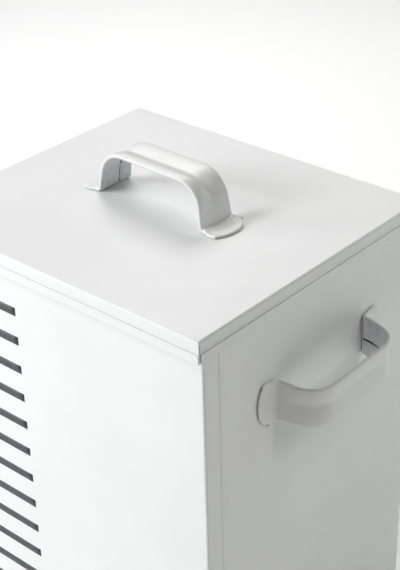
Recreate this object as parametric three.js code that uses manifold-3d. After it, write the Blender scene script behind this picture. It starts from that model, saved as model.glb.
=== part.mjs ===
// A sheet-steel storage box with a lift-off lid and three pressed bow handles.
// Millimetres, +Z up, +X to the right and +Y to the back.
// The origin is on the standing plane, under the middle of the lid.

import * as THREE from 'three';
import { mergeVertices } from 'three/addons/utils/BufferGeometryUtils.js';
import Module from 'manifold-3d';

const wasm = await Module();
wasm.setup();

// Driving dimensions.
const SHEET = 0.8;               // thickness of the body's and lid's steel
const GAP = 0.3;                 // clearance between pieces that lie on each other
const JOIN = 0.05;               // how far the solids of one piece run into each other

const LID_WIDTH = 252;
const LID_DEPTH = 221;
const LID_TOP = 318;             // height of the lid's top face
const LID_BEND = 1.4;            // outer radius of the fold round the top
const SKIRT_DROP = 14.8;         // from the top face down to the skirt's lower fold
const HEM_TOP_DROP = 8.6;        // from the top face down to the hem's cut edge
const CORNER_SLOT = 0.6;         // open joint between two skirts

const BODY_WIDTH = 249.6;
const BODY_DEPTH = 215.1;
const BODY_SHIFT = 1.75;         // the lid sits pushed forward on the body by this much
const BODY_BEND = 1.6;           // outer radius of the upright corners
const RETURN = 12.8;             // how far a panel reaches round a corner over its neighbour
const JOGGLE_RUN = 2.6;          // length of the ramp that sets a panel's edge inwards
const RIM_HEM = 9;               // the rim is folded inwards and down by this much
const BASE_FLANGE = 12;          // height of the base pan's upturned edge

const HANDLE_GAP = 87.5;         // clear length between the feet of the legs
const HANDLE_HEIGHT = 32;        // from the mounting face to the top of the grip
const STRAP_WIDTH = 27.2;
const STRAP = 2.8;               // strap thickness with its edges folded under
const LEG_LEAN = 4.5;            // the legs lean inwards by this much at the top
const GRIP_BEND = 18;            // bend radius of the grip, at the middle of the strap
const FOOT_BEND = 3;             // bend radius of the feet, at the middle of the strap
const FOOT_REACH = 18.8;         // from a leg's inner face to the tip of its foot
const PAD_WIDTH = 32;
const PAD = 1.8;                 // thickness of a foot
const LID_HANDLE_X = -1.75;      // the lid's handle is welded a little off the middle
const LID_HANDLE_Y = 2;
const SIDE_HANDLE_Y = 3.55;
const SIDE_HANDLE_DROP = 73.6;   // from the lid's top face to the side handles' middle
const SKEW = 1.1;                // the handles are welded this many degrees out of square

const BODY_TOP = LID_TOP - SHEET - GAP;
const WALL_X = BODY_WIDTH / 2;                    // outer faces of the body
const FRONT_Y = BODY_SHIFT - BODY_DEPTH / 2;
const BACK_Y = BODY_SHIFT + BODY_DEPTH / 2;
const TUCK = SHEET + GAP;                         // how far a lapped edge is set in

const white = { color: 0xe0e1e0, roughness: 0.42, metalness: 0.05 };
const lidCoat = new THREE.MeshStandardMaterial(white);
const bodyCoat = new THREE.MeshStandardMaterial(white);
const handleCoat = new THREE.MeshStandardMaterial({ ...white, roughness: 0.34 });

// A closed three.js geometry as a manifold solid, and back.
function solid(geometry) {
  const bare = geometry.clone();
  bare.deleteAttribute('normal');
  bare.deleteAttribute('uv');
  const merged = mergeVertices(bare, 1e-4);
  return new wasm.Manifold(new wasm.Mesh({
    numProp: 3,
    vertProperties: new Float32Array(merged.attributes.position.array),
    triVerts: new Uint32Array(merged.index.array),
  }));
}

function geometryOf(body) {
  const mesh = body.getMesh();
  const geometry = new THREE.BufferGeometry();
  geometry.setAttribute('position', new THREE.BufferAttribute(mesh.vertProperties, 3));
  geometry.setIndex(new THREE.BufferAttribute(mesh.triVerts, 1));
  geometry.computeVertexNormals();
  return geometry;
}

// A block given by its lowest and highest corners.
function block(low, high) {
  const size = high.map((value, i) => value - low[i]);
  const geometry = new THREE.BoxGeometry(...size);
  geometry.translate(...low.map((value, i) => value + size[i] / 2));
  return solid(geometry);
}

// The range from near to far on one side of the middle, lowest number first.
function span(side, near, far) {
  return side > 0 ? [near, far] : [-far, -near];
}

// Points along a bent line: straight runs joined by arcs. Each corner is [x, y, radius].
function bentLine(corners, arcSteps) {
  const points = [new THREE.Vector2(corners[0][0], corners[0][1])];
  for (let i = 1; i < corners.length - 1; i += 1) {
    const near = corners.slice(i - 1, i + 2);
    const [before, here, after] = near.map(([x, y]) => new THREE.Vector2(x, y));
    const into = here.clone().sub(before).normalize();
    const out = after.clone().sub(here).normalize();
    const turn = Math.atan2(into.cross(out), into.dot(out));
    const radius = corners[i][2];
    const start = here.clone().addScaledVector(into, -radius * Math.tan(Math.abs(turn) / 2));
    const side = Math.sign(turn);
    const centre = start.clone().add(new THREE.Vector2(-into.y, into.x).multiplyScalar(side * radius));
    for (let k = 0; k <= arcSteps; k += 1) {
      points.push(start.clone().rotateAround(centre, (turn * k) / arcSteps));
    }
  }
  const last = corners[corners.length - 1];
  points.push(new THREE.Vector2(last[0], last[1]));
  return points;
}

// The outline of a sheet of even thickness whose middle follows a bent line.
function sheetOutline(corners, thickness, arcSteps) {
  const line = bentLine(corners, arcSteps);
  const sides = [[], []];
  line.forEach((point, i) => {
    const before = line[Math.max(i - 1, 0)];
    const after = line[Math.min(i + 1, line.length - 1)];
    const along = after.clone().sub(before).normalize();
    const across = new THREE.Vector2(-along.y, along.x);
    sides[0].push(point.clone().addScaledVector(across, thickness / 2));
    sides[1].push(point.clone().addScaledVector(across, -thickness / 2));
  });
  return new THREE.Shape([...sides[0], ...sides[1].reverse()]);
}

// The lid: a block with rounded upper edges, hollowed from below, with a hem round its skirts.
function lidPan() {
  const halfX = LID_WIDTH / 2;
  const halfY = LID_DEPTH / 2;
  const low = LID_TOP - SKIRT_DROP;
  const plan = new THREE.Shape([
    new THREE.Vector2(-halfX + LID_BEND, -halfY + LID_BEND),
    new THREE.Vector2(halfX - LID_BEND, -halfY + LID_BEND),
    new THREE.Vector2(halfX - LID_BEND, halfY - LID_BEND),
    new THREE.Vector2(-halfX + LID_BEND, halfY - LID_BEND),
  ]);
  const rounded = new THREE.ExtrudeGeometry(plan, {
    depth: 2 * SKIRT_DROP,
    bevelSize: LID_BEND,
    bevelThickness: LID_BEND,
    bevelSegments: 4,
  });
  rounded.translate(0, 0, LID_TOP - LID_BEND - 2 * SKIRT_DROP);
  const outer = solid(rounded);
  const below = block([-LID_WIDTH, -LID_DEPTH, 0], [LID_WIDTH, LID_DEPTH, low]);
  const hollow = block(
    [-halfX + SHEET, -halfY + SHEET, 0],
    [halfX - SHEET, halfY - SHEET, LID_TOP - SHEET],
  );
  let pan = outer.subtract(below).subtract(hollow);
  const hemTop = LID_TOP - HEM_TOP_DROP;
  const hemEnd = SHEET + CORNER_SLOT;
  for (const side of [-1, 1]) {
    const y = span(side, halfY - JOIN, halfY + SHEET);
    const x = span(side, halfX - JOIN, halfX + SHEET);
    pan = pan.add(block([-halfX, y[0], low], [halfX, y[1], hemTop]));
    pan = pan.add(block([x[0], -halfY + hemEnd, low], [x[1], halfY - hemEnd, hemTop]));
  }
  for (const sideX of [-1, 1]) {
    for (const sideY of [-1, 1]) {
      const x = span(sideX, halfX - SHEET - JOIN, halfX + 2 * SHEET);
      const y = span(sideY, halfY - hemEnd, halfY - SHEET);
      pan = pan.subtract(block([x[0], y[0], 0], [x[1], y[1], LID_TOP - LID_BEND]));
    }
  }
  return geometryOf(pan);
}

// A sheet standing on Z = 0 along a plan line, with its rim hem given as a block inside it.
function upright(plan, hemLow, hemHigh) {
  const outline = sheetOutline(plan, SHEET, 5);
  const wall = solid(new THREE.ExtrudeGeometry(outline, { depth: BODY_TOP, bevelEnabled: false }));
  const hem = block([...hemLow, BODY_TOP - RIM_HEM], [...hemHigh, BODY_TOP]);
  return geometryOf(wall.add(hem));
}

// The front panel: a flat web whose two ends return round the corners, outside the side panels.
function frontPanel() {
  const x = WALL_X - SHEET / 2;
  const y = FRONT_Y + SHEET / 2;
  const bend = BODY_BEND - SHEET / 2;
  const plan = [
    [-x, FRONT_Y + RETURN],
    [-x, y, bend],
    [x, y, bend],
    [x, FRONT_Y + RETURN],
  ];
  const hemX = WALL_X - SHEET - TUCK - GAP;
  return upright(plan, [-hemX, FRONT_Y + SHEET - JOIN], [hemX, FRONT_Y + 2 * SHEET]);
}

// A side panel: its front edge is set in behind the front panel's return, its face is flush with
// that return, and its back edge returns round the corner, outside the back panel.
function sidePanel(side) {
  const face = side * (WALL_X - SHEET / 2);
  const tucked = side * (WALL_X - SHEET / 2 - TUCK);
  const ramp = FRONT_Y + RETURN + GAP;
  const plan = [
    [tucked, FRONT_Y + SHEET + GAP],
    [tucked, ramp, SHEET],
    [face, ramp + JOGGLE_RUN, SHEET],
    [face, BACK_Y - SHEET / 2, BODY_BEND - SHEET / 2],
    [side * (WALL_X - RETURN), BACK_Y - SHEET / 2],
  ];
  const hem = span(side, WALL_X - 2 * SHEET, WALL_X - SHEET + JOIN);
  return upright(plan, [hem[0], ramp + 2 * JOGGLE_RUN], [hem[1], BACK_Y - 2 * JOGGLE_RUN]);
}

// The back panel: its face is flush with the side panels' returns, and both edges are set in
// behind them.
function backPanel() {
  const face = BACK_Y - SHEET / 2;
  const tucked = face - TUCK;
  const end = WALL_X - SHEET - GAP;
  const ramp = WALL_X - RETURN - GAP;
  const plan = [
    [-end, tucked],
    [-ramp, tucked, SHEET],
    [-ramp + JOGGLE_RUN, face, SHEET],
    [ramp - JOGGLE_RUN, face, SHEET],
    [ramp, tucked, SHEET],
    [end, tucked],
  ];
  const hemX = ramp - 2 * JOGGLE_RUN;
  return upright(plan, [-hemX, BACK_Y - 2 * SHEET], [hemX, BACK_Y - SHEET + JOIN]);
}

// The base: a floor between the walls with its four edges turned up against them. Its corners
// are cut back where the walls' edges are set in.
function basePan() {
  const sideX = WALL_X - SHEET - GAP;
  const cornerX = sideX - TUCK;
  const frontY = FRONT_Y + SHEET + GAP;
  const backY = BACK_Y - SHEET - GAP;
  const cornerY = backY - TUCK;
  const clear = RETURN + 2 * JOGGLE_RUN;
  const sideY = FRONT_Y + clear;
  const backX = WALL_X - clear;
  const blocks = [
    [[-cornerX, frontY, 0], [cornerX, cornerY, SHEET]],
    [[-sideX, sideY, 0], [sideX, cornerY, SHEET]],
    [[-backX, frontY, 0], [backX, backY, SHEET]],
    [[-cornerX, frontY, 0], [cornerX, frontY + SHEET, BASE_FLANGE]],
    [[-backX, backY - SHEET, 0], [backX, backY, BASE_FLANGE]],
    [[-sideX, sideY, 0], [-sideX + SHEET, cornerY, BASE_FLANGE]],
    [[sideX - SHEET, sideY, 0], [sideX, cornerY, BASE_FLANGE]],
  ];
  const solids = blocks.map(([low, high]) => block(low, high));
  return geometryOf(solids.reduce((pan, next) => pan.add(next)));
}

// One foot of a handle, seen from above: wider than the strap, with a curved outer edge.
function padShape(side) {
  const inner = HANDLE_GAP / 2 + STRAP / 2;
  const tip = HANDLE_GAP / 2 + FOOT_REACH;
  const shoulder = tip - 6;
  const half = PAD_WIDTH / 2;
  const neck = STRAP_WIDTH / 2;
  const shape = new THREE.Shape();
  shape.moveTo(side * inner, -neck);
  shape.lineTo(side * shoulder, -half);
  shape.quadraticCurveTo(side * (tip + 6), 0, side * shoulder, half);
  shape.lineTo(side * inner, neck);
  shape.closePath();
  return shape;
}

// A bow handle along X, standing on Z = 0: a strap bent up from two feet.
function bowHandle() {
  const bevel = 0.9;
  const legX = HANDLE_GAP / 2 + STRAP / 2;
  const footX = HANDLE_GAP / 2 + FOOT_REACH / 2;
  const footZ = STRAP / 2;
  const gripZ = HANDLE_HEIGHT - STRAP / 2;
  const outline = sheetOutline([
    [-footX, footZ],
    [-legX, footZ, FOOT_BEND],
    [-legX + LEG_LEAN, gripZ, GRIP_BEND],
    [legX - LEG_LEAN, gripZ, GRIP_BEND],
    [legX, footZ, FOOT_BEND],
    [footX, footZ],
  ], STRAP - 2 * bevel, 8);
  const strap = new THREE.ExtrudeGeometry(outline, {
    depth: STRAP_WIDTH - 2 * bevel,
    bevelSize: bevel,
    bevelThickness: bevel,
    bevelSegments: 2,
  });
  strap.rotateX(Math.PI / 2);
  strap.translate(0, STRAP_WIDTH / 2 - bevel, 0);
  let handle = solid(strap);
  for (const side of [-1, 1]) {
    const pad = new THREE.ExtrudeGeometry(padShape(side), {
      depth: PAD,
      bevelEnabled: false,
      curveSegments: 6,
    });
    handle = handle.add(solid(pad));
  }
  return geometryOf(handle);
}

function piece(name, geometry, material) {
  const mesh = new THREE.Mesh(geometry, material);
  mesh.name = name;
  return mesh;
}

const box = new THREE.Group();

const lid = new THREE.Group();
lid.add(piece('lid_pan', lidPan(), lidCoat));
const lidHandle = piece('lid_handle', bowHandle(), handleCoat);
lidHandle.position.set(LID_HANDLE_X, LID_HANDLE_Y, LID_TOP + GAP);
lidHandle.rotation.z = THREE.MathUtils.degToRad(-SKEW);
lid.add(lidHandle);
box.add(lid);

const body = new THREE.Group();
body.add(piece('front_panel', frontPanel(), bodyCoat));
body.add(piece('back_panel', backPanel(), bodyCoat));
body.add(piece('left_side_panel', sidePanel(-1), bodyCoat));
body.add(piece('right_side_panel', sidePanel(1), bodyCoat));
body.add(piece('base_pan', basePan(), bodyCoat));
for (const [name, side] of [['left_side_handle', -1], ['right_side_handle', 1]]) {
  const handle = piece(name, bowHandle(), handleCoat);
  const along = new THREE.Vector3(0, -1, 0);
  const across = new THREE.Vector3(0, 0, -side);
  const outwards = new THREE.Vector3(side, 0, 0);
  handle.quaternion.setFromRotationMatrix(new THREE.Matrix4().makeBasis(along, across, outwards));
  handle.rotateZ(THREE.MathUtils.degToRad(side * SKEW));
  handle.position.set(side * (WALL_X + GAP), SIDE_HANDLE_Y, LID_TOP - SIDE_HANDLE_DROP);
  body.add(handle);
}
box.add(body);

export default box;
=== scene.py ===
"""Looks of a white powder-coated sheet-steel storage box with a lift-off lid and three bow handles.

Every sheet piece is a folded middle surface that is thickened to the real gauge, so its folds, hems, cut
edges and open corners are geometry. The box's lengths are in millimetres and turned into metres by MM.
The studio's lengths are in metres.
"""

import math

import bmesh
import bpy
from mathutils import Matrix, Quaternion, Vector


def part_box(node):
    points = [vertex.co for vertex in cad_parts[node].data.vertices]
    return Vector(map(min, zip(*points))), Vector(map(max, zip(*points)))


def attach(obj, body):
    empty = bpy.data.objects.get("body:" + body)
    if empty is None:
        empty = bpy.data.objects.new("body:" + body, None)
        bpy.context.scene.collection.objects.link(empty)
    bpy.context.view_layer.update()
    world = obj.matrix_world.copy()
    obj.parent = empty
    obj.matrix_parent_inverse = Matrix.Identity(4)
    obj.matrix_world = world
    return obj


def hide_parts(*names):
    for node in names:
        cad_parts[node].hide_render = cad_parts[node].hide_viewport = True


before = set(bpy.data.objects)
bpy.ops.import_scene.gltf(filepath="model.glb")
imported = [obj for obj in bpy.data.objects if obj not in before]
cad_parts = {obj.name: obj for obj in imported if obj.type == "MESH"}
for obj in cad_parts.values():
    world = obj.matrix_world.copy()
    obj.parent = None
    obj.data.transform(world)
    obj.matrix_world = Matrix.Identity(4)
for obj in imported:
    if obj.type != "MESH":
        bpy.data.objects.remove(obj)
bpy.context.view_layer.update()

MM = 0.001

# Sheet metal, in millimetres.
SHEET = 0.8
HALF_SHEET = SHEET / 2
HEM_GAP = 0.03            # between the two leaves of the lid's hem
LID_BEND = 1.4            # outer radius of the lid's folds
SKIRT_DROP = 14.8
HEM_TOP_DROP = 8.6
CORNER_SLOT = 0.6
BODY_BEND = 1.6
BASE_BEND = 1.2           # radius of the base's folds, at the middle of the sheet
RETURN = 12.8             # how far a wall reaches round a corner over its neighbour
JOGGLE_RUN = 1.5
RIM_HEM = 9.0
RIM_TURN = 0.5            # radius of the rim's fold, at the middle of the sheet
RIM_DROP = 0.55           # how far below the top of that fold the wall's flat part ends
RIM_CLEAR = 0.3           # between the end of a rim's hem and the walls that lap there
JOGGLE_CLEAR = 1.0        # between a joggle and the end of the rim's hem
TINY = 0.01
LAP_GAP = 0.12
LAP = 2 * SHEET + 2 * LAP_GAP     # two sheets that lap at a corner, with their gaps
BASE_FLANGE = 12.0
BASE_SET_IN = LAP + 0.4   # from the outer faces of the sides and the back to the base's turned-up edge
CUT_EDGE = 0.12           # rounding of a cut edge under the coat
CUT_ANGLE = math.radians(55)      # edges sharper than this are cut edges
LID_SWELL = 0.22          # height of the slow unevenness of each large face
FRONT_SWELL = 0.25
BACK_SWELL = 0.2
SIDE_SWELL = 0.18

# Handles, in millimetres.
LEG_GAP = 87.5
GRIP_HEIGHT = 32.0
STRAP_HALF = 13.6
STRAP = 2.8
LEG_LEAN = 4.5
GRIP_BEND = 18.0
FOOT_BEND = 3.0
FOOT_REACH = 18.8         # from a leg's inner face to the tip of its foot
PAD_HALF = 16.0
LID_HANDLE_X = -1.75
LID_HANDLE_Y = 2.0
SIDE_HANDLE_Y = 3.55
SIDE_HANDLE_DROP = 73.6
SKEW = 1.1                # degrees that the handles are welded out of square
PAD = 1.7                 # thickness of a foot
SQUARE_CORNER = 4.2       # how much shorter a foot is along its two edges
ROUND_CORNER = 12.0
FOOT_ROOT = LEG_GAP / 2 + STRAP / 2 + FOOT_BEND + 0.6
VALLEY = 1.7              # depth of the valley pressed along the grip
VALLEY_PLACE = -0.12      # place of the valley's bottom, in half widths of the strap
NEAR_REACH = 0.70         # reach of the valley's two slopes, in the same measure
FAR_REACH = 0.84
SEAM_DEPTH = 1.5
SEAM_LOSS = 0.9           # how much shallower the seam is under the valley
SEAM_FLOOR = 0.48         # half widths of the seam at its floor and at its mouth
SEAM_MOUTH = 0.60
SEAM_HALF = 0.50          # nearer to the seam's middle than this is its floor
LID_SEAM = 2.8            # places of the seams across the handles
SIDE_SEAM = 2.4
TIP = 0.94                # share of a foot's length where its edge starts to round off
FOOT_DROOP = 0.5          # how much lower a foot's tip is than its root
WELD_OUT = 4.6            # places of the two weld prints on a foot, out and across from its root
WELD_ACROSS = (-6.5, 7.0)
EDGE_STEPS = 6            # facets round a strap's edge

# Printed bars, in millimetres.
BAR_LEFT = -88.0
BAR_RIGHT_SHARE = 0.37    # right end, from the lid's left edge, as a share of the lid's width
BAR_HEIGHT = 6.3
BAR_PITCH = 22.0
BAR_COUNT = 12
BAR_COLUMNS = 12
FIRST_BAR_DROP = 40.0
INK = 0.05                # thickness of the ink, which also reaches as far into the sheet

lid_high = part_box("lid_pan")[1]
front_low, front_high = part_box("front_panel")
back_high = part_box("back_panel")[1]
LID_TOP = lid_high.z / MM
LID_HALF_X = lid_high.x / MM - SHEET
LID_HALF_Y = lid_high.y / MM - SHEET
WALL_X = front_high.x / MM
FRONT_Y = front_low.y / MM
BACK_Y = back_high.y / MM
BODY_TOP = front_high.z / MM


# ---------------------------------------------------------------- materials

class Nodes:
    """A material's node tree, with short ways to add and join nodes."""

    def __init__(self, name):
        self.material = bpy.data.materials.new(name)
        self.material.use_nodes = True
        self.tree = self.material.node_tree
        self.shader = self.tree.nodes["Principled BSDF"]
        self.place = self.add("ShaderNodeTexCoord").outputs["Object"]

    def add(self, kind, **settings):
        node = self.tree.nodes.new(kind)
        for key, value in settings.items():
            setattr(node, key, value)
        return node

    def join(self, output, node_input):
        self.tree.links.new(output, node_input)

    def noise(self, scale, detail=2.0, roughness=0.5):
        node = self.add("ShaderNodeTexNoise")
        node.inputs["Scale"].default_value = scale
        node.inputs["Detail"].default_value = detail
        node.inputs["Roughness"].default_value = roughness
        self.join(self.place, node.inputs["Vector"])
        return node.outputs["Fac"]

    def remap(self, value, low, high, to_low, to_high):
        node = self.add("ShaderNodeMapRange")
        for socket, number in zip(("From Min", "From Max", "To Min", "To Max"), (low, high, to_low, to_high)):
            node.inputs[socket].default_value = number
        self.join(value, node.inputs["Value"])
        return node.outputs["Result"]

    def math(self, operation, first, second):
        node = self.add("ShaderNodeMath", operation=operation)
        for socket, value in zip(node.inputs, (first, second)):
            if isinstance(value, (int, float)):
                socket.default_value = value
            else:
                self.join(value, socket)
        return node.outputs["Value"]

    def mix(self, share, first, second):
        """Two colours mixed: share of the second one over the first one."""
        node = self.add("ShaderNodeMix", data_type="RGBA")
        factor, first_colour, second_colour = node.inputs[0], node.inputs[6], node.inputs[7]
        self.join(share, factor)
        for socket, value in ((first_colour, first), (second_colour, second)):
            if isinstance(value, tuple):
                socket.default_value = (*value, 1.0)
            else:
                self.join(value, socket)
        return node.outputs[2]

    def bump(self, height, strength, distance, below=None):
        node = self.add("ShaderNodeBump")
        node.inputs["Strength"].default_value = strength
        node.inputs["Distance"].default_value = distance
        self.join(height, node.inputs["Height"])
        if below is not None:
            self.join(below, node.inputs["Normal"])
        return node.outputs["Normal"]


def powder_coat(name, colour, roughness, peel, inside=False):
    """White powder coat: orange peel, faint tone drift, specks, and painted shade that darkens its crevices.

    With inside set, the coat is thin where the mesh's mark of thin coat and seam shade is 1, so that steel
    shows through, and where it is 2, down in a seam, the colour is near black: painted shade for the seam's
    depth."""
    n = Nodes(name)
    drift = n.noise(9.0, 3.0)
    pale = tuple(min(1.0, c * 1.015) for c in colour)
    deep = tuple(c * 0.975 for c in colour)
    tint = n.mix(n.remap(drift, 0.35, 0.65, 0.0, 1.0), deep, pale)

    cells = n.add("ShaderNodeTexVoronoi")
    cells.inputs["Scale"].default_value = 55.0
    n.join(n.place, cells.inputs["Vector"])
    centre = n.math("LESS_THAN", cells.outputs["Distance"], 0.016)
    number = n.add("ShaderNodeSeparateColor")
    n.join(cells.outputs["Color"], number.inputs["Color"])
    spot = n.math("MULTIPLY", centre, n.math("GREATER_THAN", number.outputs[0], 0.86))
    tint = n.mix(n.math("MULTIPLY", spot, 0.35), tint, (0.42, 0.43, 0.41))

    # Painted shade: an ambient occlusion node darkens the colour within 1.3 mm of other surfaces, in
    # crevices, gaps and seams where shade falls.
    crevice_shade = n.add("ShaderNodeAmbientOcclusion", samples=8)
    crevice_shade.inputs["Distance"].default_value = 1.3 * MM
    shade = n.remap(crevice_shade.outputs["AO"], 0.1, 0.7, 0.22, 0.0)
    tint = n.mix(shade, tint, tuple(c * 0.5 for c in colour))

    if inside:
        mark = n.add("ShaderNodeAttribute", attribute_name="thin_coat_and_seam_shade").outputs["Fac"]
        thin = n.math("MINIMUM", mark, 1.0)
        patchy = n.remap(n.noise(260.0, 5.0, 0.65), 0.38, 0.66, 0.25, 1.0)
        steel = n.mix(n.noise(900.0, 3.0), (0.26, 0.35, 0.43), (0.47, 0.56, 0.62))
        tint = n.mix(n.math("MULTIPLY", n.math("MULTIPLY", thin, patchy), 0.62), tint, steel)
        # Painted shade: down in a seam the colour is near black, standing for the shade there.
        tint = n.mix(n.math("GREATER_THAN", mark, 1.5), tint, (0.025, 0.030, 0.035))
    n.join(tint, n.shader.inputs["Base Color"])

    rough = n.remap(n.noise(38.0, 2.0), 0.3, 0.7, roughness - 0.04, roughness + 0.05)
    n.join(rough, n.shader.inputs["Roughness"])
    n.shader.inputs["Specular IOR Level"].default_value = 0.5

    ripple = n.bump(n.noise(620.0, 1.5), peel, 0.12 * MM)
    grain = n.bump(n.noise(4200.0, 1.0), peel * 0.5, 0.02 * MM, ripple)
    n.join(grain, n.shader.inputs["Normal"])
    return n.material


def printed_ink():
    n = Nodes("printed_ink")
    tint = n.mix(n.noise(180.0, 4.0), (0.040, 0.045, 0.050), (0.060, 0.064, 0.068))
    n.join(tint, n.shader.inputs["Base Color"])
    rough = n.remap(n.noise(600.0, 2.0), 0.3, 0.7, 0.42, 0.56)
    n.join(rough, n.shader.inputs["Roughness"])
    n.join(n.bump(n.noise(1500.0, 2.0), 0.15, 0.04 * MM), n.shader.inputs["Normal"])
    return n.material


def studio_floor():
    n = Nodes("studio_floor")
    tint = n.mix(n.noise(3.0, 3.0), (0.94, 0.945, 0.94), (0.955, 0.955, 0.95))
    n.join(tint, n.shader.inputs["Base Color"])
    n.shader.inputs["Roughness"].default_value = 0.75
    return n.material


# ---------------------------------------------------------------- mesh helpers

def object_from(name, vertices, faces, material):
    """A mesh object from points in millimetres, with shared points merged and faces pointing outwards."""
    mesh = bpy.data.meshes.new(name)
    mesh.from_pydata([Vector(v) * MM for v in vertices], [], faces)
    shape = bmesh.new()
    shape.from_mesh(mesh)
    bmesh.ops.remove_doubles(shape, verts=shape.verts, dist=0.0005 * MM)
    bmesh.ops.recalc_face_normals(shape, faces=shape.faces)
    for face in shape.faces:
        face.smooth = True
    shape.to_mesh(mesh)
    shape.free()
    mesh.materials.append(material)
    piece = bpy.data.objects.new(name, mesh)
    bpy.context.scene.collection.objects.link(piece)
    return piece


def thicken(piece):
    """Gives a folded middle surface the sheet's gauge and softly rounded cut edges."""
    solid = piece.modifiers.new("gauge", "SOLIDIFY")
    solid.thickness = SHEET * MM
    solid.offset = 0.0
    solid.use_even_offset = True
    edge = piece.modifiers.new("cut_edges", "BEVEL")
    edge.width = CUT_EDGE * MM
    edge.segments = 3
    edge.limit_method = "ANGLE"
    edge.angle_limit = CUT_ANGLE
    edge.harden_normals = True
    return piece


def grid(rows):
    """Vertices and quads of a surface given as rows of the same number of points."""
    vertices = [point for row in rows for point in row]
    width = len(rows[0])
    faces = []
    for i in range(len(rows) - 1):
        for j in range(width - 1):
            a = i * width + j
            faces.append((a, a + 1, a + 1 + width, a + width))
    return vertices, faces


def gather(parts):
    """Several (vertices, faces) pairs as one."""
    vertices, faces = [], []
    for part_vertices, part_faces in parts:
        start = len(vertices)
        vertices.extend(part_vertices)
        faces.extend(tuple(start + i for i in face) for face in part_faces)
    return vertices, faces


def bent_line(corners, step, arc_steps):
    """Points along straight runs joined by arcs. Each corner is (x, y, radius); runs are cut into steps."""
    line = [Vector(corners[0][:2])]

    def run_to(end):
        start = line[-1].copy()
        count = max(1, math.ceil((end - start).length / step))
        line.extend(start.lerp(end, k / count) for k in range(1, count + 1))

    for before, here, after in zip(corners, corners[1:], corners[2:]):
        corner = Vector(here[:2])
        into = (corner - Vector(before[:2])).normalized()
        out = (Vector(after[:2]) - corner).normalized()
        turn = math.atan2(into.x * out.y - into.y * out.x, into.dot(out))
        radius = here[2]
        start = corner - into * radius * math.tan(abs(turn) / 2)
        run_to(start)
        side = math.copysign(1.0, turn)
        centre = start + Vector((-into.y, into.x)) * side * radius
        for k in range(1, arc_steps + 1):
            line.append(centre + Matrix.Rotation(turn * k / arc_steps, 2) @ (start - centre))
    run_to(Vector(corners[-1][:2]))
    return line


def smoothstep(x):
    x = min(1.0, max(0.0, x))
    return x * x * (3 - 2 * x)


def ripple(a, b, height):
    """A slow unevenness of a large sheet, nil at its edges; a and b run from -1 to 1 across it."""
    fade = (1 - a ** 4) * (1 - b ** 4)
    return height * fade * (0.55 * math.cos(2.1 * a + 0.6) * math.cos(1.7 * b - 0.4)
                            + 0.25 * math.sin(4.3 * a + 1.9 * b)
                            + 0.2 * math.cos(3.1 * b - 2.2 * a + 1.0))


# ---------------------------------------------------------------- lid and base

def lid_wave(x, y):
    return ripple(x / LID_HALF_X, y / LID_HALF_Y, LID_SWELL)


def folded_pan(half_x, half_y, fold, level, wave, spacing=5.0):
    """The middle surface of a flat blank with its four edges folded.

    fold is the edge's path as (outwards, along Z) from the blank's outer face, starting where the fold
    begins, and each of its points has a reach: how far it stops short of the corner, for the front and
    back edges and for the side edges."""
    start_out = fold[0][0]
    flat_x, flat_y = half_x + start_out, half_y + start_out
    count_x, count_y = round(2 * flat_x / spacing), round(2 * flat_y / spacing)
    top = [[(flat_x * (2 * i / count_x - 1), flat_y * (2 * j / count_y - 1)) for i in range(count_x + 1)]
           for j in range(count_y + 1)]
    parts = [grid([[(x, y, level + wave(x, y)) for x, y in row] for row in top])]
    for side in (-1, 1):
        rows = []
        for out, height, short_front, _ in fold:
            reach = half_x - short_front
            rows.append([(reach * (2 * i / count_x - 1), side * (half_y + out), level + height)
                         for i in range(count_x + 1)])
        parts.append(grid(rows))
        rows = []
        for out, height, _, short_side in fold:
            reach = half_y - short_side
            rows.append([(side * (half_x + out), reach * (2 * j / count_y - 1), level + height)
                         for j in range(count_y + 1)])
        parts.append(grid(rows))
    return gather(parts)


def lid_fold():
    """The lid's edge: the fold, the skirt, and the hem turned outwards and up, with open corners."""
    mid_bend = LID_BEND - HALF_SHEET
    leaf = HEM_GAP + HALF_SHEET
    turn = (HALF_SHEET + leaf) / 2
    bottom = -SKIRT_DROP + SHEET
    line = bent_line([
        (-LID_BEND, 0.0, 0.0),
        (-HALF_SHEET, 0.0, mid_bend),
        (-HALF_SHEET, bottom, turn),
        (leaf, bottom, turn),
        (leaf, -HEM_TOP_DROP + HALF_SHEET, 0.0),
    ], step=2.5, arc_steps=6)
    path = []
    for out, height in line[1:]:
        folding = height > -mid_bend - TINY
        short_front = -out if folding else 0.0
        short_side = -out if folding else SHEET + CORNER_SLOT
        path.append((out, height, short_front, short_side))
    path.insert(0, (-LID_BEND, 0.0, LID_BEND, LID_BEND))
    return path


def make_lid(material):
    fold = lid_fold()
    vertices, faces = folded_pan(LID_HALF_X, LID_HALF_Y, fold, LID_TOP - HALF_SHEET, lid_wave)
    lid = thicken(object_from("lid_sheet", vertices, faces, material))
    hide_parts("lid_pan")
    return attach(lid, "lid")


def make_base(material):
    half_x = WALL_X - BASE_SET_IN
    first_y = FRONT_Y + SHEET + LAP_GAP
    last_y = BACK_Y - BASE_SET_IN
    middle_y = (first_y + last_y) / 2
    half_y = (last_y - first_y) / 2
    line = bent_line([
        (-HALF_SHEET - BASE_BEND, 0.0, 0.0),
        (-HALF_SHEET, 0.0, BASE_BEND),
        (-HALF_SHEET, BASE_FLANGE - HALF_SHEET, 0.0),
    ], step=3.0, arc_steps=6)
    fold = [(out, height, max(-out, SHEET), max(-out, SHEET + HALF_SHEET)) for out, height in line]
    vertices, faces = folded_pan(half_x, half_y, fold, HALF_SHEET, lambda x, y: 0.0, spacing=10.0)
    vertices = [(x, y + middle_y, z) for x, y, z in vertices]
    base = thicken(object_from("base_sheet", vertices, faces, material))
    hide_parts("base_pan")
    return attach(base, "body")


# ---------------------------------------------------------------- walls

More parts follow.
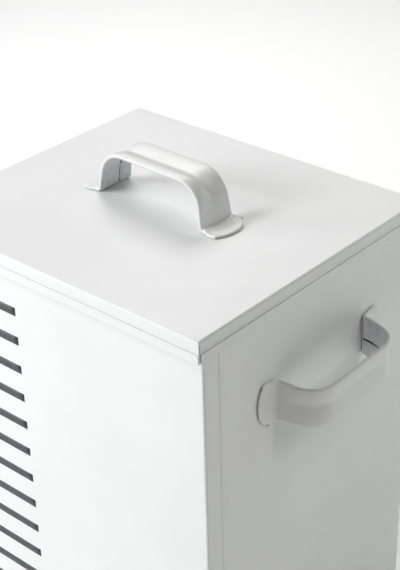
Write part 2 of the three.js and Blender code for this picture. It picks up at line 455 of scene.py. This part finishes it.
def wall_heights():
    """Heights of a wall's rows, closer together near the top."""
    lower = [BODY_TOP * k / 22 for k in range(22)]
    return lower + [BODY_TOP - HALF_SHEET - RIM_DROP]


def upright_sheet(plan, inward, hemmed, wave):
    """A wall's middle surface: the plan line raised to the rim, with the rim folded inwards over the
    stretch of the line where hemmed(point) is true. inward is the unit vector to the box's inside."""
    turn = RIM_TURN
    rows = [[(p.x + wave(p, z) * inward.x, p.y + wave(p, z) * inward.y, z) for p in plan]
            for z in wall_heights()]
    parts = [grid(rows)]
    rim_z = BODY_TOP - HALF_SHEET - turn
    edge = rows[-1]
    steps = 6
    fold = [(turn - turn * math.cos(math.pi * k / steps), turn * math.sin(math.pi * k / steps))
            for k in range(steps + 1)]
    fold.append((2 * turn, -RIM_HEM / 2))
    fold.append((2 * turn, -RIM_HEM + turn + HALF_SHEET))
    run = [p for p in plan if hemmed(p)]
    hem = [[(p.x, p.y, edge[0][2]) for p in run]]
    for out, height in fold:
        hem.append([(p.x + inward.x * out, p.y + inward.y * out, rim_z + height) for p in run])
    parts.append(grid(hem))
    return gather(parts)


def make_wall(name, node, plan, inward, hemmed, wave, material):
    vertices, faces = upright_sheet(plan, inward, hemmed, wave)
    wall = thicken(object_from(name, vertices, faces, material))
    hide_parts(node)
    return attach(wall, "body")


def front_wave(x, z):
    return ripple(x / WALL_X, 2 * z / BODY_TOP - 1, FRONT_SWELL)


def make_front_wall(material):
    """The front: a flat web whose two ends return round the corners over the sides."""
    x = WALL_X - HALF_SHEET
    y = FRONT_Y + HALF_SHEET
    web = WALL_X - LAP - RIM_CLEAR
    half = bent_line([
        (0.0, y, 0.0),
        (web, y, 0.0),
        (x, y, BODY_BEND - HALF_SHEET),
        (x, FRONT_Y + RETURN, 0.0),
    ], step=6.0, arc_steps=6)
    plan = [Vector((-p.x, p.y)) for p in reversed(half[1:])] + half
    return make_wall(
        "front_wall", "front_panel", plan, Vector((0.0, 1.0)),
        lambda p: abs(p.x) <= web + TINY,
        lambda p, z: front_wave(p.x, z) if abs(p.x) < web else 0.0,
        material,
    )


def make_back_wall(material):
    """The back: its face is flush with the sides' returns, its edges are joggled in behind them."""
    face = BACK_Y - HALF_SHEET
    tucked = face - SHEET - LAP_GAP
    ramp = WALL_X - RETURN - LAP_GAP
    half = bent_line([
        (0.0, face, 0.0),
        (ramp - JOGGLE_RUN, face, SHEET),
        (ramp, tucked, SHEET),
        (WALL_X - SHEET - LAP_GAP, tucked, 0.0),
    ], step=6.0, arc_steps=4)
    plan = [Vector((-p.x, p.y)) for p in reversed(half[1:])] + half
    flat = ramp - JOGGLE_RUN - JOGGLE_CLEAR
    return make_wall(
        "back_wall", "back_panel", plan, Vector((0.0, -1.0)),
        lambda p: abs(p.x) <= flat,
        lambda p, z: ripple(p.x / flat, 2 * z / BODY_TOP - 1, BACK_SWELL) if abs(p.x) < flat else 0.0,
        material,
    )


def make_side_wall(name, node, side, material):
    """A side: its front edge is joggled in behind the front's return, its back edge returns round the
    corner over the back."""
    face = WALL_X - HALF_SHEET
    tucked = face - SHEET - LAP_GAP
    ramp = FRONT_Y + RETURN + LAP_GAP
    line = bent_line([
        (tucked, FRONT_Y + SHEET + LAP_GAP, 0.0),
        (tucked, ramp, SHEET),
        (face, ramp + JOGGLE_RUN, SHEET),
        (face, BACK_Y - HALF_SHEET, BODY_BEND - HALF_SHEET),
        (WALL_X - RETURN, BACK_Y - HALF_SHEET, 0.0),
    ], step=6.0, arc_steps=5)
    plan = [Vector((side * p.x, p.y)) for p in line]
    first = ramp + JOGGLE_RUN + JOGGLE_CLEAR
    last = BACK_Y - LAP - 2 * RIM_CLEAR
    middle, half = (first + last) / 2, (last - first) / 2
    return make_wall(
        name, node, plan, Vector((-side, 0.0)),
        lambda p: abs(p.y - middle) <= half and abs(p.x) > face - TINY,
        lambda p, z: ripple((p.y - middle) / half, 2 * z / BODY_TOP - 1, SIDE_SWELL)
        if abs(p.y - middle) < half else 0.0,
        material,
    )


# ---------------------------------------------------------------- handles

def across_places(seam):
    """Places across the strap, from -1 to 1 of its flat half, with the seam's two lips among them."""
    count = 30
    places = [2 * k / count - 1 for k in range(count + 1)]
    flat = STRAP_HALF - STRAP / 2
    lips = [(seam + offset) / flat for offset in (-SEAM_MOUTH, -SEAM_FLOOR, SEAM_FLOOR, SEAM_MOUTH)]
    kept = [p for p in places if all(abs(p - lip) > 0.03 for lip in lips)]
    return sorted(kept + lips)


def handle_line():
    """The strap's middle line from the left foot's root over the grip to the right foot's root."""
    leg = LEG_GAP / 2 + STRAP / 2
    foot = STRAP / 2
    grip = GRIP_HEIGHT - STRAP / 2
    return bent_line([
        (-FOOT_ROOT, foot, 0.0),
        (-leg, foot, FOOT_BEND),
        (-leg + LEG_LEAN, grip, GRIP_BEND),
        (leg - LEG_LEAN, grip, GRIP_BEND),
        (leg, foot, FOOT_BEND),
        (FOOT_ROOT, foot, 0.0),
    ], step=1.3, arc_steps=22)


def relief(place, height):
    """The pressed valley along the strap's outer face, fading out down the legs."""
    strength = smoothstep((height - 6.0) / 15.0)
    offset = place - VALLEY_PLACE
    reach = NEAR_REACH if offset < 0 else FAR_REACH
    distance = min(1.0, math.hypot(offset / reach, 0.10))
    return -VALLEY * strength * (1 - math.sin(math.pi / 2 * distance))


def foot_length(place):
    """How far a foot reaches beyond its root, at a place across it: it is rounder on one edge."""
    longest = LEG_GAP / 2 + FOOT_REACH - FOOT_ROOT
    if place < 0:
        return longest - SQUARE_CORNER * min(1.0, -place) ** 2.6
    return longest - ROUND_CORNER * (1 - math.sqrt(max(0.0, 1 - (0.985 * min(1.0, place)) ** 2)))


def stations():
    """Stations along the handle: point, tangent, share of the way out along a foot, and side."""
    line = handle_line()
    outwards = Vector((1.0, 0.0))
    shares = (1.0, 0.992, 0.975, 0.94, 0.88, 0.8, 0.7, 0.6, 0.5, 0.4, 0.3, 0.2, 0.1)
    made = [(line[0], outwards, share, -1) for share in shares]
    for i, point in enumerate(line):
        before, after = line[max(i - 1, 0)], line[min(i + 1, len(line) - 1)]
        made.append((point, (after - before).normalized(), 0.0, 0))
    made.extend((line[-1], outwards, share, 1) for share in reversed(shares))
    return made


def weld_marks(out, across):
    """Two shallow prints of the welding tips on a foot, out and across from its root."""
    depth = 0.0
    for centre in WELD_ACROSS:
        distance = math.hypot(out - WELD_OUT, across - centre)
        depth -= 0.30 * math.exp(-(distance / 1.5) ** 2)
        depth += 0.12 * math.exp(-((distance - 2.6) / 0.8) ** 2)
    return depth


def tool_dent(point, across):
    """A small nick that the bending tool left at the root of the right leg."""
    if point.x < 0:
        return 0.0
    return -0.55 * math.exp(-((point.y - 6.3) / 0.55) ** 2 - ((across + 1.3) / 1.7) ** 2)


def strap_section(point, tangent, share, side, places, seam):
    """One ring of the strap: outer face, right edge, inner face with its seam, left edge."""
    normal = Vector((-tangent.y, tangent.x))
    flare = 0.5 * (1 - smoothstep((point.y - 2.0) / 20.0))
    spread = flare + (1 - flare) * smoothstep(share / 0.5)
    half = STRAP_HALF + (PAD_HALF - STRAP_HALF) * spread
    gauge = STRAP + (PAD - STRAP) * smoothstep(share / 0.3)
    closing = math.sqrt(max(0.0, 1 - ((share - TIP) / (1.0005 - TIP)) ** 2)) if share > TIP else 1.0
    radius = gauge * closing / 2
    drop = (STRAP - gauge) / 2 - FOOT_DROOP * share ** 2
    seam_depth = SEAM_DEPTH * smoothstep((point.y - 3.0) / 3.0)
    seam_depth -= SEAM_LOSS * smoothstep((point.y - 8.0) / 10.0)
    flat = half - STRAP / 2

    def at(place, across, offset):
        out = share * foot_length(place) * side
        along = point + Vector((out, -drop))
        return (along.x + normal.x * offset, across, along.y + normal.y * offset)

    def edge(turn, first_angle):
        for k in range(1, EDGE_STEPS):
            angle = first_angle - math.pi * k / EDGE_STEPS
            across = turn * flat + STRAP / 2 * math.cos(angle)
            yield at(across / half, across, radius * math.sin(angle))

    ring = []
    for place in places:
        across = place * flat
        offset = radius + relief(place, point.y) + tool_dent(point, across)
        if share > 0:
            out = share * foot_length(place)
            offset += weld_marks(out, across) * min(1.0, closing * 1.2)
        ring.append(at(place, across, offset))
    ring.extend(edge(1, math.pi / 2))
    for place in reversed(places):
        across = place * flat
        in_seam = abs(across - seam) < SEAM_HALF
        ring.append(at(place, across, -radius + (seam_depth if in_seam else 0.0)))
    ring.extend(edge(-1, -math.pi / 2))
    return ring


def skewed(along, across, degrees):
    """A handle's three axes, turned by some degrees about its outward axis."""
    along, across = Vector(along), Vector(across)
    turn = math.radians(degrees)
    return (along * math.cos(turn) + across * math.sin(turn),
            across * math.cos(turn) - along * math.sin(turn),
            along.cross(across))


def make_handle(name, node, body, origin, axes, seam, material):
    """A bow handle: local X along it, local Y across the strap and local Z away from the sheet."""
    places = across_places(seam)
    rings = [strap_section(*station, places, seam) for station in stations()]
    around = len(rings[0])
    vertices = [p for ring in rings for p in ring]
    faces = []
    for i in range(len(rings) - 1):
        for k in range(around):
            a, b = i * around + k, i * around + (k + 1) % around
            faces.append((a, b, b + around, a + around))
    faces.extend(end_cap(0, len(places)))
    faces.extend(tuple(reversed(face)) for face in end_cap((len(rings) - 1) * around, len(places)))
    matrix = Matrix(axes).transposed()
    placed = [matrix @ Vector(v) + origin for v in vertices]
    handle = object_from(name, placed, faces, material)
    mark_thin_coat_and_seam_shade(handle, matrix, origin, seam)
    handle.data.set_sharp_from_angle(angle=math.radians(62))
    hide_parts(node)
    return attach(handle, body)


def end_cap(start, count):
    """Faces that close a ring between its outer and its inner face."""
    sides = EDGE_STEPS - 1
    outer = [start + k for k in range(count)]
    right = [start + count + k for k in range(sides)]
    inner = [start + count + sides + k for k in range(count)]
    left = [start + 2 * count + sides + k for k in range(sides)]
    faces = [(outer[k], outer[k + 1], inner[count - 2 - k], inner[count - 1 - k]) for k in range(count - 1)]
    faces.append((outer[-1], *right, inner[0]))
    faces.append((inner[-1], *left, outer[0]))
    return faces


def mark_thin_coat_and_seam_shade(handle, matrix, origin, seam):
    """Stores where the spray hardly reached, on the inner faces of the legs and of the grip, and marks the
    inside of the seam, whose near black colour is painted shade."""
    inverse = matrix.inverted()
    middle = Vector((0.0, 0.0, 9.0))
    mesh = handle.data
    attribute = mesh.attributes.new("thin_coat_and_seam_shade", "FLOAT", "POINT")
    for vertex, normal, mark in zip(mesh.vertices, mesh.vertex_normals, attribute.data):
        place = inverse @ (vertex.co / MM - origin)
        inwards = (middle - place).normalized().dot(inverse @ normal.vector)
        under = place.z > 2.2 and abs(place.x) < LEG_GAP / 2 + 1
        fading = 1 - 0.65 * smoothstep((place.z - 12.0) / 9.0)
        mark.value = fading * smoothstep((inwards - 0.25) / 0.4) if under else 0.0
        # The inside of the seam gets 2, which the coat paints near black as painted shade.
        if under and abs(place.y - seam) < SEAM_HALF + 0.05 and inwards > 0:
            mark.value = 2.0


# ---------------------------------------------------------------- printed stripes

def make_stripes(material):
    """A generic printed column: plain parallel bars, one above the other, on the front's left part."""
    bar_right = (2 * BAR_RIGHT_SHARE - 1) * LID_HALF_X
    xs = [BAR_LEFT + (bar_right - BAR_LEFT) * i / BAR_COLUMNS for i in range(BAR_COLUMNS + 1)]
    parts = []
    for k in range(BAR_COUNT):
        top = LID_TOP - FIRST_BAR_DROP - k * BAR_PITCH
        faces_of_bar = []
        for depth, order in ((INK, 1), (-INK, -1)):
            rows = [[(x, FRONT_Y + front_wave(x, z) - depth, z) for x in xs][::order]
                    for z in (top - BAR_HEIGHT, top)]
            faces_of_bar.append(grid(rows))
        front, back = faces_of_bar
        parts.extend((front, back, rim_between(front[0], back[0], len(xs))))
    vertices, faces = gather(parts)
    stripes = object_from("front_stripes", vertices, faces, material)
    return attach(stripes, "body")


def rim_between(front, back, width):
    """The narrow faces round a printed bar, between its front and back grids of two rows."""
    loop = [*front[:width], *reversed(front[width:])]
    mirrored = [*reversed(back[:width]), *back[width:]]
    vertices = loop + mirrored
    count = len(loop)
    faces = [(k, (k + 1) % count, count + (k + 1) % count, count + k) for k in range(count)]
    return vertices, faces


# ---------------------------------------------------------------- studio

# Each light's azimuth (degrees to the right of the front), elevation, size, power and colour.
LIGHTS = (
    ("key", -28, 25, 0.6, 19.4, (0.99, 0.99, 1.0)),
    ("low_left", -50, 12, 0.6, 13.9, (0.99, 0.985, 1.0)),
    ("high_left", -50, 42, 0.6, 10.4, (1.0, 1.0, 1.0)),
    ("high_right", 100, 45, 0.8, 8.2, (1.0, 0.99, 0.96)),
    ("back_right", 150, 15, 0.8, 4.0, (0.95, 1.0, 0.88)),
)
LIGHT_DISTANCE = 2.0
STUDIO_MIDDLE = Vector((0.0, 0.0, 0.3))

# Lights that shine straight down on the floor: place, size, power and colour.
FLOOR_LIGHTS = (
    ("floor_wash", (-0.75, 0.85, 1.3), 1.0, 13.4, (1.0, 1.0, 1.0)),
    ("floor_right", (0.65, 0.45, 0.5), 0.6, 0.8, (0.95, 1.0, 0.88)),
)
WORLD_STRENGTH = 0.06
FLOOR_SIZE = 14.0

LENS = 87.1
SENSOR = 36.0
CAMERA_OFFSET = Vector((1.6875, -1.8730, 1.6091))   # from the lid's near right corner, in lid widths
CAMERA_AZIMUTH = 41.85
CAMERA_ELEVATION = 30.15
CAMERA_ROLL = -1.64


def direction(azimuth, elevation):
    """The unit vector to a place at an azimuth (degrees to the right of the front) and elevation."""
    turn, rise = math.radians(azimuth), math.radians(elevation)
    return Vector((math.sin(turn) * math.cos(rise), -math.cos(turn) * math.cos(rise), math.sin(rise)))


def area_light(name, place, towards, size, power, colour):
    data = bpy.data.lights.new(name, "AREA")
    data.shape = "SQUARE"
    data.size = size
    data.energy = power
    data.color = colour
    light = bpy.data.objects.new(name, data)
    light.location = place
    light.rotation_mode = "QUATERNION"
    light.rotation_quaternion = towards.to_track_quat("-Z", "Y")
    bpy.context.scene.collection.objects.link(light)


def make_studio():
    scene = bpy.context.scene
    scene.view_settings.view_transform = "Standard"
    world = bpy.data.worlds.new("studio")
    world.use_nodes = True
    world.node_tree.nodes["Background"].inputs["Color"].default_value = (1.0, 1.0, 1.0, 1.0)
    world.node_tree.nodes["Background"].inputs["Strength"].default_value = WORLD_STRENGTH
    scene.world = world

    bpy.ops.mesh.primitive_grid_add(x_subdivisions=8, y_subdivisions=8, size=FLOOR_SIZE, location=(0, 2.0, 0))
    floor = bpy.context.object
    floor.name = "floor"
    floor.data.materials.append(studio_floor())

    for name, azimuth, elevation, size, power, colour in LIGHTS:
        away = direction(azimuth, elevation)
        area_light(name, STUDIO_MIDDLE + away * LIGHT_DISTANCE, -away, size, power, colour)
    down = Vector((0.0, 0.0, -1.0))
    for name, place, size, power, colour in FLOOR_LIGHTS:
        area_light(name, Vector(place), down, size, power, colour)


def make_camera():
    """The camera stands off the lid's near right corner by multiples of the lid's width."""
    scene = bpy.context.scene
    data = bpy.data.cameras.new("camera")
    data.sensor_width = SENSOR
    data.lens = LENS
    camera = bpy.data.objects.new("camera", data)
    scene.collection.objects.link(camera)
    width = 2 * LID_HALF_X * MM
    corner = Vector((LID_HALF_X, -LID_HALF_Y, LID_TOP)) * MM
    camera.location = corner + CAMERA_OFFSET * width
    roll = Quaternion((0, 0, 1), math.radians(CAMERA_ROLL))
    camera.rotation_mode = "QUATERNION"
    aim = -direction(CAMERA_AZIMUTH, CAMERA_ELEVATION)
    camera.rotation_quaternion = aim.to_track_quat("-Z", "Y") @ roll
    data.clip_start, data.clip_end = 0.05, 40.0
    scene.camera = camera


# ---------------------------------------------------------------- the box

make_camera()
make_studio()

sheet_coat = powder_coat("sheet_coat", (0.812, 0.818, 0.815), 0.40, 0.10)
# Painted shade: the handles' coat is the box's white coat made a little darker, to stand for the shade on the
# handles.
handle_coat = powder_coat("handle_coat", (0.79, 0.795, 0.79), 0.36, 0.07, inside=True)
ink = printed_ink()

make_lid(sheet_coat)
make_base(sheet_coat)
make_front_wall(sheet_coat)
make_back_wall(sheet_coat)
make_side_wall("left_wall", "left_side_panel", -1, sheet_coat)
make_side_wall("right_wall", "right_side_panel", 1, sheet_coat)

make_handle(
    "lid_bow", "lid_handle", "lid", Vector((LID_HANDLE_X, LID_HANDLE_Y, LID_TOP)),
    skewed((1, 0, 0), (0, 1, 0), -SKEW), LID_SEAM, handle_coat,
)
for name, node, side in (("left_bow", "left_side_handle", -1), ("right_bow", "right_side_handle", 1)):
    make_handle(
        name, node, "body", Vector((side * WALL_X, SIDE_HANDLE_Y, LID_TOP - SIDE_HANDLE_DROP)),
        skewed((0, -1, 0), (0, 0, -side), side * SKEW), SIDE_SEAM * side, handle_coat,
    )
make_stripes(ink)
